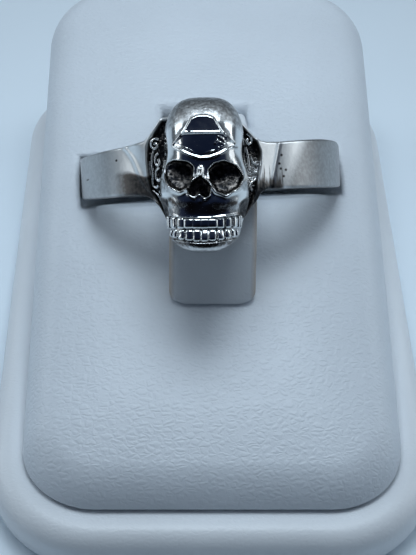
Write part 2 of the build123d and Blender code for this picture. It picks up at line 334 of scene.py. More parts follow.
def covered_strip():
    """A tree that sweeps a rounded strip along a curve and rounds the corners of its start."""
    sizes = [(title, "Float") for title in ("Width", "Thickness", "Bend", "Edge", "End Corner", "Step")]
    tree, given = new_tree("covered strip", sizes + [("Cover", "Material")])

    def maths(kind, a, b=0.0):
        return add_node(tree, "ShaderNodeMath", 0, {0: a, 1: b}, operation=kind)

    def fillet(curve, radius, count):
        corners = {"Curve": curve, "Radius": radius, "Count": count}
        return add_node(tree, "GeometryNodeFilletCurve", "Curve", corners, mode="POLY")

    evenly = {"Curve": fillet(given["Geometry"], given["Bend"], 14), "Length": given["Step"]}
    evened = add_node(tree, "GeometryNodeResampleCurve", "Curve", evenly, mode="LENGTH")
    keep = tree.nodes.new("GeometryNodeCaptureAttribute")
    keep.capture_items.new("FLOAT", "From End")
    tree.links.new(evened, keep.inputs["Geometry"])
    tree.links.new(add_node(tree, "GeometryNodeSplineParameter", "Length"), keep.inputs["From End"])
    oblong = {"Width": given["Width"], "Height": given["Thickness"]}
    section = add_node(tree, "GeometryNodeCurvePrimitiveQuadrilateral", "Curve", oblong)
    sweep = {"Curve": keep.outputs["Geometry"], "Profile Curve": fillet(section, given["Edge"], 6)}
    strip = add_node(tree, "GeometryNodeCurveToMesh", "Mesh", {**sweep, "Fill Caps": True})
    # Near its start the strip is narrowed by what a quarter circle of the corner's radius leaves out.
    corner = given["End Corner"]
    short = maths("MAXIMUM", maths("SUBTRACT", corner, keep.outputs["From End"]), 0.0)
    square = maths("SUBTRACT", maths("MULTIPLY", corner, corner), maths("MULTIPLY", short, short))
    inset = maths("SUBTRACT", corner, maths("SQRT", maths("MAXIMUM", square, 0.0)))
    half = maths("MULTIPLY", given["Width"], 0.5)
    share = maths("DIVIDE", maths("SUBTRACT", half, inset), half)
    split = tree.nodes.new("ShaderNodeSeparateXYZ")
    tree.links.new(add_node(tree, "GeometryNodeInputPosition", 0), split.inputs[0])
    narrower = maths("MULTIPLY", split.outputs["X"], share)
    moved = {"X": narrower, "Y": split.outputs["Y"], "Z": split.outputs["Z"]}
    place = add_node(tree, "ShaderNodeCombineXYZ", 0, moved)
    rounded = add_node(tree, "GeometryNodeSetPosition", "Geometry", {"Geometry": strip, "Position": place})
    end_tree(tree, rounded, given["Cover"])
    return tree


def grown(name, start, tree, settings):
    """The plain mesh object that a tree makes of a starting object, which is then removed."""
    modifier = start.modifiers.new("grow", "NODES")
    modifier.node_group = tree
    sockets = {s.name: s.identifier for s in tree.interface.items_tree if s.in_out == "INPUT"}
    for key, value in settings.items():
        modifier[sockets[key]] = value
    bpy.context.view_layer.update()
    mesh = bpy.data.meshes.new_from_object(start.evaluated_get(bpy.context.evaluated_depsgraph_get()))
    start.modifiers.remove(modifier)
    bpy.data.objects.remove(start)
    mesh.name = name
    return placed(name, mesh)


def wire_path(name, lines):
    """A curve object with one straight-run spline for each list of points, in millimetres."""
    data = bpy.data.curves.new(name, "CURVE")
    data.dimensions = "3D"
    for line in lines:
        spline = data.splines.new("POLY")
        spline.points.add(len(line) - 1)
        for point, place in zip(spline.points, line):
            point.co = (*[c * MM for c in place], 1)
    return placed(name, data)


def browned_edges(material, start, full):
    """Browns the two long edges of the strip, where the cloth is folded round."""
    tree = material.node_tree
    colour = tree.nodes["Principled BSDF"].inputs["Base Color"]
    place = add_node(tree, "ShaderNodeTexCoord", "Object")
    across = add_node(tree, "ShaderNodeSeparateXYZ", "X", {0: place})
    aside = add_node(tree, "ShaderNodeMath", 0, {0: across}, operation="ABSOLUTE")
    brown_reach = {"Value": aside, "From Min": start * MM, "From Max": full * MM, "To Max": 0.85}
    amount = add_node(tree, "ShaderNodeMapRange", "Result", brown_reach)
    mixed = {"Factor": amount, "A": colour.links[0].from_socket, "B": (0.33, 0.27, 0.22, 1)}
    tree.links.new(add_node(tree, "ShaderNodeMix", "Result", mixed, data_type="RGBA"), colour)


clip_cover = leatherette(
    "matte clip cloth", (0.73, 0.77, 0.81), grain=0.30, depth=0.03, rough=0.6, sheen=0.1
)
browned_edges(clip_cover, *CLIP_BROWN_EDGES)
clip = grown(
    "clip_cover",
    wire_path("clip route", [CLIP_ROUTE]),
    covered_strip(),
    {
        "Width": CLIP_WIDTH * MM,
        "Thickness": CLIP_THICK * MM,
        "Bend": CLIP_BEND * MM,
        "Edge": CLIP_EDGE * MM,
        "End Corner": CLIP_END_CORNER * MM,
        "Step": CLIP_STEP * MM,
        "Cover": clip_cover,
    },
)
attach(clip, "root")
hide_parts("ring_tongue")

# Finger band and collar: one casting in silver with the skull. The flat-faced band swells at the shoulders
# into a collar, whose thin raised rim runs round a sunken ground behind the skull. The face is polished, and
# the ground is blackened.
BORE, BAND_OUTER = 9.9, 11.2
GROUND_DEPTH = 0.50
FACE_EDGE, BORE_EDGE = 0.22, 0.18  # rounding of the band's outer and inner edges
EDGE_RADIUS = 11.6  # from the bore's axis, where the upper and lower edge are read
FLARE_TALLEST, FLARE_EASE = 1.02, 0.2  # how far the flare stands out at most, and how gently it levels off
CLOSE_TO = 42  # degrees to each side of the front with closely set columns
COLUMNS_FRONT, COLUMNS_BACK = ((430, 60))
FACE_POINTS = 104
UPPER_EDGE = [  # across, height over the band's middle, as seen from in front
    (-11.2, 1.62), (-10.0, 1.70), (-7.8, 1.86), (-6.05, 2.00), (-5.2, 2.06), (-4.62, 2.15), (-4.25, 2.50),
    (-3.75, 3.12), (-3.40, 3.70), (-3.10, 3.90), (2.05, 3.90), (2.55, 3.50), (3.15, 2.80), (3.52, 2.38),
    (3.96, 1.95), (4.34, 1.76), (4.87, 1.68), (6.28, 1.71), (8.37, 1.88), (10.0, 2.00), (11.2, 2.00),
]
LOWER_EDGE = [
    (-11.2, -1.95), (-9.47, -2.00), (-6.26, -1.96), (-5.20, -2.14), (-4.49, -2.52), (-3.98, -3.15),
    (-3.55, -3.95), (-3.38, -4.66), (-3.15, -5.60), (-2.70, -6.10), (1.70, -6.10), (2.20, -5.60),
    (2.47, -5.02), (2.70, -4.30), (3.24, -3.58), (3.89, -2.92), (4.23, -2.34), (4.90, -2.02),
    (7.34, -2.00), (10.0, -1.95), (11.2, -1.92),
]
GROUND_LEFT = [  # height, where the sunken ground ends on the left
    (-6.2, -2.70), (-5.5, -2.98), (-4.6, -3.20), (-4.0, -3.32), (-3.2, -3.74), (-2.5, -4.22),
    (-1.87, -4.50), (-0.63, -4.62), (0.61, -4.56), (1.84, -4.34), (2.40, -4.02), (3.10, -3.50),
    (3.80, -3.00),
]
GROUND_RIGHT = [
    (-6.2, 1.90), (-5.0, 2.20), (-4.2, 2.52), (-3.4, 3.10), (-2.6, 3.58), (-1.97, 3.78), (-1.06, 4.02),
    (-0.14, 4.20), (0.94, 4.26), (1.72, 3.92), (2.52, 3.22), (2.9, 2.85), (3.8, 2.20),
]
SHOULDER_PITS = [
    (5.95, 0.62), (6.25, -0.55), (5.85, -0.45), (6.05, -1.05), (5.75, -0.05), (-10.1, -0.35), (-7.3, 0.9),
]
PAINTED_SHADE_LEFT = [  # across, how dark the painted shade at the foot of the left shoulder is
    (-8.1, 0), (-7.2, 0.335), (-6.7, 0.45), (-6.2, 0.64), (-5.7, 0.74), (-4.4, 0.74), (-4.0, 0),
]
PAINTED_SHADE_LEFT_TOP = [  # across, height of its upper end
    (-8.0, 0.50), (-7.2, 0.35), (-6.2, 0.05), (-5.7, -0.20), (-5.0, -0.45),
]
PAINTED_SHADE_LEFT_FADE = [(-8.0, 0.9), (-5.7, 0.3)]  # across, height over which it fades in
REFLECTION_GREY_LEFT = [(-8.2, 0.29), (-7.0, 0.08)]  # across, the light grey painted on the band's face as a reflection of the shaded pad
REFLECTION_GREY_RIGHT = [(6.6, 0.08), (7.5, 0.35)]
RUBBED_PLACE, RUBBED_REACH = (3.75, -0.75), (0.95, 1.25)  # both across, upwards


def looked_up(table, x):
    """The table's second column at x."""
    places, values = np.array(table).T
    return np.interp(x, places, values)


def eased(table, x, reach):
    """The table's second column at x, with its corners eased over a reach."""
    shares = np.array([1, 2, 3, 2, 1]) / 9
    return sum(s * looked_up(table, x + k * reach) for s, k in zip(shares, (-1, -0.5, 0, 0.5, 1)))


def ridge(distance, width):
    """1 where the distance is 0, falling to 0 on both sides."""
    return np.exp(-((distance / width) ** 2))


def band_edges(x, front):
    """Height of the band's upper and lower edge at x across; front is 1 in front and -1 behind."""
    share = np.clip(front * 4, 0, 1)
    back = 1.75 + 0.25 * front
    upper = share * eased(UPPER_EDGE, x, 0.14) + (1 - share) * back
    return upper, share * eased(LOWER_EDGE, x, 0.14) - (1 - share) * back


def band_face(x, z, high, low):
    """How far the face stands out from the bore's axis, and how sunken and blackened it is there."""
    right, across = x > 0, np.abs(x)
    # The crease where the band starts to flare leans, and on the left it curves too.
    crease = np.where(right, 5.66 + 0.24 * z, 5.62 + 0.35 * z + 0.07 * z**3)
    soft = np.where(right, 0.07, 0.13)
    flare = np.where(right, 0.35, 0.62) * soft * np.logaddexp(0, (crease - across) / soft)
    levelled = -FLARE_EASE * np.logaddexp(-flare / FLARE_EASE, -FLARE_TALLEST / FLARE_EASE)
    flare = levelled + FLARE_EASE * math.log1p(math.exp(-FLARE_TALLEST / FLARE_EASE))
    # The ground lies inside a rim that follows the band's edges and the outlines beside the skull.
    beside = np.minimum(x - eased(GROUND_LEFT, z, 0.2), eased(GROUND_RIGHT, z, 0.2) - x)
    inside = np.minimum(np.minimum((high - z), (z - low)) * 0.75 - 0.20, beside)
    sunk = 1 / (1 + np.exp(-np.clip(inside / 0.03, -30, 30)))
    fold = np.where(right, -0.050 * ridge(across - crease, 0.16), 0.14 * ridge(across - crease, 0.25))
    return BAND_OUTER + flare + (0.05 * ridge(inside + 0.09, 0.06) + fold) - GROUND_DEPTH * sunk, sunk


band_turns = np.concatenate(
    [
        np.linspace(-180, -CLOSE_TO, COLUMNS_BACK, endpoint=False),
        np.linspace(-CLOSE_TO, CLOSE_TO, COLUMNS_FRONT, endpoint=False),
        np.linspace(CLOSE_TO, 180, COLUMNS_BACK, endpoint=False),
    ]
)
rows, blackened = [], []
for degrees in band_turns:
    a = math.radians(degrees)
    front = math.cos(a)
    x_here = np.full(FACE_POINTS, EDGE_RADIUS * math.sin(a) if front > 0 else BAND_OUTER)
    high, low = (float(v) for v in band_edges(x_here[:1], front))
    z = np.linspace(low + FACE_EDGE, high - FACE_EDGE, FACE_POINTS)
    face, sunk = band_face(x_here, z, high, low)
    section = list(zip(face, z, sunk))
    for top, start, sign in ((high, face[-1], 1), (low, face[0], -1)):
        flank = [
            (start - FACE_EDGE * (1 - math.cos(t)), top - sign * FACE_EDGE * (1 - math.sin(t)), 0)
            for t in map(math.radians, (18, 36, 54, 72, 90))
        ]
        run = BORE + BORE_EDGE - start + FACE_EDGE
        flank += [(start - FACE_EDGE + run * share, top, 0) for share in (0.33, 0.67, 1.0)]
        flank += [
            (BORE + BORE_EDGE * (1 - math.sin(t)), top - sign * BORE_EDGE * (1 - math.cos(t)), 0)
            for t in map(math.radians, (30, 60, 90))
        ]
        if sign > 0:
            section += flank
        else:
            lower_flank = flank[::-1]
    bore_height = low - high + 2 * BORE_EDGE
    section += [(BORE, high - BORE_EDGE + bore_height * t, 0) for t in np.linspace(0, 1, 10)[1:-1]]
    section += lower_flank
    rows.append([(r * math.sin(a), -r * front, h) for r, h, _ in section])
    blackened.append([share for _, _, share in section])
rows = np.array(rows)
turns, around = rows.shape[:2]
grid = np.arange(turns * around).reshape(turns, around)
next_turn, next_point = np.roll(grid, -1, 0), np.roll(grid, -1, 1)
band_faces = np.stack([grid, next_turn, np.roll(next_turn, -1, 1), next_point], 2).reshape(-1, 4)
band_points = rows.reshape(-1, 3) @ ring_axes.T + np.array(RING_CENTRE)


def cast_silver(name, rough, satin=None, satin_rough=0.40, thinnest=0.55):
    """Polished cast silver with fine wear, blackened where the piece's own tarnish attribute is high. On the
    band and the skull that attribute also carries painted shade and painted reflections.
    """
    material, tree, shader = new_material(name, {"Metallic": 1.0})
    place = add_node(tree, "ShaderNodeTexCoord", "Object")
    tarnish_and_shade = add_node(tree, "ShaderNodeAttribute", "Fac", attribute_name="tarnish_and_shade")

    def speckle(scale, detail):
        sizes = {"Vector": place, "Scale": scale, "Detail": detail}
        return add_node(tree, "ShaderNodeTexNoise", "Fac", sizes)

    def spread(value, start, end, low, high):
        limits = {"Value": value, "From Min": start, "From Max": end, "To Min": low, "To Max": high}
        return add_node(tree, "ShaderNodeMapRange", "Result", limits)

    def blend(share, a, b):
        both = {"Factor": share, "A": a, "B": b}
        return add_node(tree, "ShaderNodeMix", "Result", both, data_type="FLOAT")

    # The tarnish, and the painted shade in it, is thinner in patches.
    uneven = spread(speckle(3200, 4), 0.42, 0.62, 1.0, thinnest)
    black = add_node(tree, "ShaderNodeMath", 0, {0: tarnish_and_shade, 1: uneven}, operation="MULTIPLY")
    bright, grey, brownish = (0.84, 0.845, 0.84), (0.47, 0.475, 0.48), (0.172, 0.156, 0.145)
    stops = [(0.08, bright), (0.28, grey), (0.45, brownish), (0.80, (0.018, 0.019, 0.022))]
    tree.links.new(add_ramp(tree, black, stops), shader.inputs["Base Color"])
    # Fine wear makes the polish uneven, and what is tarnished or left satin is duller.
    polish = spread(speckle(1800, 5), 0.35, 0.75, rough, rough + 0.10)
    finish = blend(tarnish_and_shade, polish, 0.40)
    if satin:
        matted = add_node(tree, "ShaderNodeAttribute", "Fac", attribute_name=satin)
        finish = blend(matted, finish, satin_rough)
    tree.links.new(finish, shader.inputs["Roughness"])
    # Where it is black the cast surface is still rough.
    strength = spread(tarnish_and_shade, 0.0, 1.0, 0.06, 1.0)
    pitted = {"Distance": 0.08 * MM, "Strength": strength, "Height": speckle(4200, 3)}
    tree.links.new(add_node(tree, "ShaderNodeBump", "Normal", pitted), shader.inputs["Normal"])
    return material


def give(piece, name, values):
    """A number for each point of the piece's mesh, for its material to read."""
    attribute = piece.data.attributes.new(name, "FLOAT", "POINT")
    attribute.data.foreach_set("value", np.asarray(values, np.float32).ravel())


def rubbed(x, z):
    """How far the black has been polished off: a patch low in the right half of the collar."""
    return ridge(x - RUBBED_PLACE[0], RUBBED_REACH[0]) * ridge(z - RUBBED_PLACE[1], RUBBED_REACH[1])


band_silver = cast_silver("band silver", 0.27, satin="inside", satin_rough=0.65, thinnest=0.88)
band = formed_piece("ring_band", band_points, band_faces, band_silver)
band_x, band_y, band_z = rows.reshape(-1, 3).T
in_front = band_y < 0
sunk_black = np.array(blackened).ravel() * (1 - 0.75 * rubbed(band_x, band_z))
# The foot of the left shoulder is painted black as shade, up to a soft line, and its flare is a little grey.
depth_in_shade = (looked_up(PAINTED_SHADE_LEFT_TOP, band_x) - band_z) / looked_up(PAINTED_SHADE_LEFT_FADE, band_x)
left_shoulder_shade = looked_up(PAINTED_SHADE_LEFT, band_x) * np.clip(depth_in_shade, 0, 1) * in_front
left_flare = 0.22 * ridge(band_x + 5.0, 0.7) * in_front
# Towards both sides the face is painted a light grey as a painted reflection of the shaded pad, on the right
# behind a slanting line.
reflection_grey_right = looked_up(REFLECTION_GREY_RIGHT, band_x - 0.45 * band_z)
reflection_grey_sides = np.where(band_x < 0, looked_up(REFLECTION_GREY_LEFT, band_x), reflection_grey_right)
# The foot of the right shoulder is black with a ragged top, and over it run drag marks and pits.
foot_top = -0.85 + 0.16 * np.sin(9 * band_x) + 0.10 * np.sin(23 * band_x + 1)
right_foot = 0.85 * np.clip((foot_top - band_z) / 1.1, 0, 1) * np.clip((6.3 - band_x) / 0.7, 0, 1)
right_foot = right_foot * (band_x > 3.6) * in_front
on_right_flare = (band_x > 4.15) & (band_x < 6.1) & in_front
drag_marks = np.clip(np.sin(13 * band_x + 0.5 * band_z) + 0.6 * np.sin(31 * band_x) - 0.45, 0, 1)
drag_marks = drag_marks * np.clip((0.1 - band_z) / 0.9, 0, 1)
pits = sum(ridge(np.hypot(band_x - px, band_z - pz), 0.09) for px, pz in SHOULDER_PITS)
shoulder_wear = np.maximum(0.50 * drag_marks * on_right_flare, np.clip(pits, 0, 1) * in_front)
# The lowest part of the collar is dark: patina in the recess there, and painted shade.
black_foot = 0.72 * np.clip((-2.35 - band_z) / 0.5, 0, 1) * in_front
band_tarnish_and_shade = [sunk_black, left_shoulder_shade, left_flare, reflection_grey_sides, shoulder_wear, black_foot, right_foot]
give(band, "tarnish_and_shade", np.maximum.reduce(band_tarnish_and_shade))
give(band, "inside", np.clip((BORE + 0.6 - np.hypot(band_x, band_y)) / 0.3, 0, 1))
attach(band, "root")
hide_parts("skull_ring")

# Scrolls and grains in the collar: little curled wires stand in the blackened ground beside the skull, and
# the ground round them is rough with grains. All of it is silver, cast in one with the collar.
SCROLLS = [  # across, height: S-shaped curls one over the other
    [
        (-3.62, 2.20), (-3.95, 2.28), (-4.22, 2.05), (-4.25, 1.70),
        (-4.00, 1.50), (-3.78, 1.66), (-3.86, 1.90), (-4.05, 1.88),
    ],
    [
        (-4.08, 1.38), (-4.22, 0.95), (-4.27, 0.35), (-4.22, -0.35),
        (-4.30, -0.95), (-4.24, -1.38), (-4.00, -1.52), (-3.86, -1.32),
    ],
    [(-3.70, 1.15), (-3.95, 0.90), (-3.98, 0.45), (-3.82, 0.18), (-3.66, 0.35), (-3.74, 0.66)],
    [(-3.68, 0.00), (-3.94, -0.22), (-3.98, -0.72), (-3.80, -1.02), (-3.64, -0.82)],
    [(-4.42, 0.55), (-4.46, 0.10), (-4.44, -0.50)],
    [(-4.36, -1.72), (-4.08, -1.95), (-3.82, -2.25), (-3.74, -2.62), (-3.52, -2.95)],
    [(-3.80, -1.78), (-3.62, -2.05), (-3.50, -2.40)],
    [(3.30, 2.30), (3.55, 2.05), (3.60, 1.70), (3.38, 1.50), (3.22, 1.70), (3.34, 1.90)],
    [(3.45, 0.55), (3.60, 0.15), (3.88, -0.08), (4.02, -0.40), (3.86, -0.70), (3.62, -0.60), (3.66, -0.36)],
    [(3.12, 1.25), (3.24, 0.65), (3.30, 0.05), (3.30, -0.55)],
    [(4.10, 0.20), (4.05, -0.25), (3.90, -0.60)],
    [(3.90, -0.95), (3.74, -1.30), (3.46, -1.50), (3.34, -1.85), (3.48, -2.15)],
]
SCROLL_WIRE, SCROLL_LIFT, SCROLL_STEP = 0.10, 0.12, 0.07  # radius, height over the ground, mesh steps
GRAINS_PER_MM2, GRAIN_RADIUS = 26, 0.085


def ground_place(x, z, lift):
    """A point over the collar's ground, in the stand's frame."""
    high, low = band_edges(np.array([x]), 1.0)
    r = float(band_face(np.array([x]), np.array([z]), high, low)[0][0]) + lift
    return RING_TURN @ Vector((x, -math.sqrt(r * r - x * x), z)) + RING_CENTRE


def curled_wires():
    """A tree that sweeps a round wire along each curve."""
    sizes = [("Wire Radius", "Float"), ("Step", "Float"), ("Metal", "Material")]
    tree, given = new_tree("curled wires", sizes)
    curled = {"Curve": given["Geometry"]}
    run = add_node(tree, "GeometryNodeCurveSplineType", "Curve", curled, spline_type="CATMULL_ROM")
    evenly = {"Curve": run, "Length": given["Step"]}
    evened = add_node(tree, "GeometryNodeResampleCurve", "Curve", evenly, mode="LENGTH")
    circle = {"Resolution": 8, "Radius": given["Wire Radius"]}
    section = add_node(tree, "GeometryNodeCurvePrimitiveCircle", "Curve", circle)
    sweep = {"Curve": evened, "Profile Curve": section, "Fill Caps": True}
    end_tree(tree, add_node(tree, "GeometryNodeCurveToMesh", "Mesh", sweep), given["Metal"])
    return tree


def sown_grains():
    """A tree that sows little uneven beads over the faces of a patch, half sunk in it."""
    sizes = [("Density", "Float"), ("Bead Radius", "Float"), ("Seed", "Int"), ("Metal", "Material")]
    tree, given = new_tree("sown grains", sizes)
    sow = tree.nodes.new("GeometryNodeDistributePointsOnFaces")
    for socket, setting in (("Mesh", "Geometry"), ("Density", "Density"), ("Seed", "Seed")):
        tree.links.new(given[setting], sow.inputs[socket])
    ball = {"Segments": 7, "Rings": 5, "Radius": given["Bead Radius"]}
    bead = add_node(tree, "GeometryNodeMeshUVSphere", "Mesh", ball)
    limits = {"Min": (0.5, 0.5, 0.4), "Max": (1.5, 1.7, 1.1), "Seed": given["Seed"]}
    size = add_node(tree, "FunctionNodeRandomValue", 0, limits, data_type="FLOAT_VECTOR")
    points, turns = sow.outputs["Points"], sow.outputs["Rotation"]
    sown = {"Points": points, "Instance": bead, "Rotation": turns, "Scale": size}
    end_tree(tree, add_node(tree, "GeometryNodeInstanceOnPoints", "Instances", sown), given["Metal"])
    return tree


scroll_lines = [[ground_place(x, z, SCROLL_LIFT) for x, z in route] for route in SCROLLS]
scroll_settings = {
    "Wire Radius": SCROLL_WIRE * MM,
    "Step": SCROLL_STEP * MM,
    "Metal": cast_silver("scroll silver", 0.22),
}
scrolls = grown("ring_scrolls", wire_path("scroll routes", scroll_lines), curled_wires(), scroll_settings)
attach(scrolls, "root")
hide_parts("skull_ring")

face_sunk = np.array(blackened).ravel()[band_faces].min(axis=1)
middle = rows.reshape(-1, 3)[band_faces].mean(axis=1)
beside_skull = (face_sunk > 0.9) & (np.abs(middle[:, 0] + 0.1) > 2.3)
patch = formed_piece("grain ground", band_points, band_faces[beside_skull], band.data.materials[0])
grain_settings = {
    "Density": GRAINS_PER_MM2 * 1e6,
    "Bead Radius": GRAIN_RADIUS * MM,
    "Seed": 7,
    "Metal": cast_silver("grain silver", 0.18),
}
grains = grown("ring_grains", patch, sown_grains(), grain_settings)
sown_at = np.empty(len(grains.data.vertices) * 3, np.float32)
grains.data.vertices.foreach_get("co", sown_at)
grain_x, grain_y, grain_z = ((sown_at.reshape(-1, 3) * 1000 - np.array(RING_CENTRE)) @ ring_axes).T
mottled = 0.12 * np.sin(grain_x * 9 + 4 * np.sin(grain_y * 7)) * np.sin(grain_z * 8 + 1)
give(grains, "tarnish_and_shade", np.clip(0.92 + mottled - 1.1 * rubbed(grain_x, grain_z), 0, 1))
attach(grains, "root")
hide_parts("skull_ring")

# Skull: the front of the silver casting, with a broad crown, deep eye sockets, a low brow and cheekbones. It
# is polished to a mirror, with a satin crown and blackened sockets and nose.
SKULL_TURN = RING_TURN @ Matrix.Rotation(math.radians(2.0), 3, "Y")
skull_axes = np.array(SKULL_TURN, float)
SKULL_STEP = 0.066
FORMS = [  # middle (x, distance in front, height), half sizes, squareness of each
    ((-0.12, 11.80, 1.15), (3.12, 4.25, 4.02), (3.2, 2.4, 2.4)),
    ((-0.10, 12.55, -1.90), (3.40, 3.42, 3.20), (2.8, 2.9, 3.0)),
    ((-0.14, 12.50, -4.55), (2.86, 3.46, 2.25), (2.3, 5.0, 12.0)),
]
FORMS_BLEND = 0.45  # how softly the three run together
TEMPLE, TEMPLE_RADIUS = (6.50, 14.2, 0.9), 3.5  # middle of the ball that hollows each temple
CHEEK_HOLLOW, CHEEK_HOLLOW_HALF = (3.45, 14.0, -3.65), (0.80, 2.1, 0.62)  # the same under the cheekbones
GUM_TOP, GUM_CURVE = -4.20, 0.030  # upper end of the band of teeth, and how it rises to the sides
JAW_FOOT, JAW_CURVE = -6.02, 0.055
TEETH_SUNK = 0.26  # how far that band lies back
CHIN_NARROWS = [  # height, share of the jaw's width
    (-6.9, 0.45), (-6.5, 0.60), (-6.2, 0.73), (-5.8, 0.87), (-5.2, 0.96), (-4.6, 1.0),
]
EYE_LEFT = [  # across, height in the face's front view, as in the tables below
    (-3.06, -0.42), (-2.88, -0.02), (-2.33, 0.20), (-1.30, 0.06), (-0.80, -0.28), (-0.84, -0.92),
    (-1.20, -1.78), (-1.86, -2.14), (-2.62, -1.72), (-3.00, -1.0),
]
EYE_RIGHT = [
    (0.24, -0.60), (0.66, -0.12), (1.45, 0.10), (2.40, -0.28), (2.88, -1.00), (2.50, -1.92), (1.58, -2.44),
    (0.88, -2.18), (0.44, -1.38),
]
NOSE = [
    (-0.34, -1.04), (-0.84, -1.42), (-1.28, -1.93), (-1.16, -2.40), (-0.80, -2.56), (-0.40, -2.30),
    (0.00, -2.68), (0.34, -2.46), (0.40, -1.82), (0.06, -1.38),
]
NOSE_BRIDGE = [(-0.27, -0.55), (-0.31, -0.92)]
NOSE_BAR = ((-0.42, 15.75, -2.50, 0.13), (-0.42, 15.3, -1.9, 0.05))  # ends: across, in front, height, radius
BROW_PLATE = [(-0.95, 3.30), (-0.45, 3.50), (0.25, 3.50), (0.72, 3.30), (1.36, 2.16), (-1.60, 2.16)]
BROW_HOLLOW = [
    (-2.46, 1.24), (-1.90, 1.80), (-1.55, 2.14), (1.32, 2.14), (2.02, 1.62), (2.50, 1.10), (2.05, 1.16),
    (1.16, 0.68), (0.42, 0.42), (-0.32, 0.36), (-1.15, 0.64), (-1.83, 0.98),
]
BROW_LINE = [
    (-2.48, 1.26), (-1.83, 0.92), (-1.15, 0.56), (-0.32, 0.29), (0.42, 0.34), (1.16, 0.58), (1.83, 1.0),
    (2.32, 1.30),
]
BROW_MARKS = [  # small raised marks in the hollow: line, height, width
    ([(-2.40, 1.34), (-1.75, 1.16), (-1.20, 0.96), (-0.75, 0.66)], 0.06, 0.08),
    ([(0.80, 1.36), (1.02, 1.58)], 0.06, 0.07),
    ([(1.06, 1.86), (1.36, 1.72), (1.50, 1.52)], 0.06, 0.07),
    ([(1.20, 1.40), (1.46, 1.30)], 0.05, 0.06),
    ([(1.52, 2.00), (1.70, 1.72), (1.98, 1.58)], 0.06, 0.07),
    ([(0.95, 1.02), (1.35, 1.12), (1.72, 1.34)], 0.05, 0.07),
    ([(0.15, 0.66), (0.60, 0.80), (1.00, 0.86)], 0.05, 0.07),
]
CHEEK_LEFT = [(-2.95, -1.35), (-2.62, -2.20), (-1.90, -2.72), (-1.25, -2.86)]
CHEEK_RIGHT = [(2.88, -1.40), (2.62, -2.25), (1.85, -2.95), (0.85, -3.0)]
CHEEK_SHADE_LEFT = [(-2.65, -2.75), (-2.2, -3.10), (-1.5, -3.18)]
CHEEK_SHADE_RIGHT = [(0.75, -3.30), (1.5, -3.32), (2.25, -3.05)]
GUM_LINE = [
    (-2.75, -4.10), (-2.07, -4.12), (-1.43, -4.20), (-0.38, -4.23), (0.66, -4.20), (1.39, -4.06),
    (2.60, -3.92),
]
PITS = [  # small flaws in the crown and the brow
    (-0.75, 4.45), (-0.15, 4.33), (0.48, 4.52), (-1.85, 4.10), (-0.40, 4.62), (0.10, 3.95), (-1.2, 4.2),
    (1.2, 4.1), (1.3, 1.75), (1.5, 1.6), (1.15, 1.55), (1.62, 1.82), (0.95, 1.82),
]
RECESS_LEFT = 2.66  # how far from the middle the dark beside the jaw starts
RECESS_RIGHT = [(-3.7, 2.36), (-3.1, 2.44), (-2.7, 2.9)]  # height, the same on the right
MAP_STEP = 0.025
map_x, map_z = np.arange(-4.3, 4.3, MAP_STEP), np.arange(-7.6, 5.8, MAP_STEP)
across, upright = np.meshgrid(map_x, map_z, indexing="ij")


def away_from(line, closed=False):
    """Distance over the face's front view to a line of points, less than 0 inside a closed one."""
    pairs = list(zip(line, line[1:] + line[:1])) if closed else list(zip(line, line[1:]))
    nearest, inside = np.full(across.shape, 99.0), np.zeros(across.shape, bool)
    for (ax, az), (bx, bz) in pairs:
        dx, dz = bx - ax, bz - az
        t = np.clip(((across - ax) * dx + (upright - az) * dz) / (dx * dx + dz * dz), 0, 1)
        nearest = np.minimum(nearest, np.hypot(across - ax - t * dx, upright - az - t * dz))
        if closed and dz:
            inside ^= ((az > upright) != (bz > upright)) & (across < ax + (upright - az) * dx / dz)
    return np.where(inside, -nearest, nearest)


def softened(field, reach):
    """The field with its corners rounded over a reach in millimetres."""
    wide = int(reach / MAP_STEP)
    shares = np.hanning(2 * wide + 3)[1:-1]
    shares /= shares.sum()
    for axis in (0, 1):
        field = np.apply_along_axis(
            lambda line: np.convolve(np.pad(line, wide, "edge"), shares, "valid"), axis, field
        )
    return field


def step_down(distance, reach):
    """1 inside, 0 outside, with a slope as wide as the reach."""
    t = np.clip(0.5 - distance / reach, 0, 1)
    return t * t * (3 - 2 * t)


def on_map(field, x, z):
    """The field at places over the face's front view."""
    u = np.clip((x - map_x[0]) / MAP_STEP, 0, len(map_x) - 1.001)
    v = np.clip((z - map_z[0]) / MAP_STEP, 0, len(map_z) - 1.001)
    i, j = u.astype(int), v.astype(int)
    a, b = u - i, v - j
    lower = field[i, j] * (1 - a) + field[i + 1, j] * a
    upper = field[i, j + 1] * (1 - a) + field[i + 1, j + 1] * a
    return lower * (1 - b) + upper * b


# The relief is a map of heights over the skull's rounded forms. The brow has a flat plate, a hollow round it
# and small marks; the sockets, nose, cheekbones and gums have raised rims.
eye_left, eye_right = (softened(away_from(line, True), 0.22) for line in (EYE_LEFT, EYE_RIGHT))
nose = softened(away_from(NOSE, True), 0.12)
low_rims = step_down(upright + 1.05, 0.9)
_, crown_f, crown_z = FORMS[0][0]
crown_half, crown_deep, crown_tall = FORMS[0][1]
crown_a, crown_b, crown_c = FORMS[0][2]
dome = 1 - np.abs(across / crown_half) ** crown_a - np.abs((upright - crown_z) / crown_tall) ** crown_c
dome_reach = crown_f + crown_deep * np.clip(dome, 0.05, 1) ** (1 / crown_b)
flat_brow = 16.03 - 0.21 * (upright - 2.16) - dome_reach
relief = np.clip(flat_brow, 0, 0.3) * step_down(softened(away_from(BROW_PLATE, True), 0.08), 0.15)
relief -= 0.11 * step_down(softened(away_from(BROW_HOLLOW, True), 0.08), 0.16)
relief += 0.05 * ridge(away_from(BROW_LINE), 0.10)
relief += 0.05 * ridge(away_from([BROW_PLATE[5], BROW_PLATE[4]]), 0.09)
for line, height, width in BROW_MARKS:
    relief += height * ridge(away_from(line), width)
relief += 0.17 * ridge(away_from(NOSE_BRIDGE), 0.21)
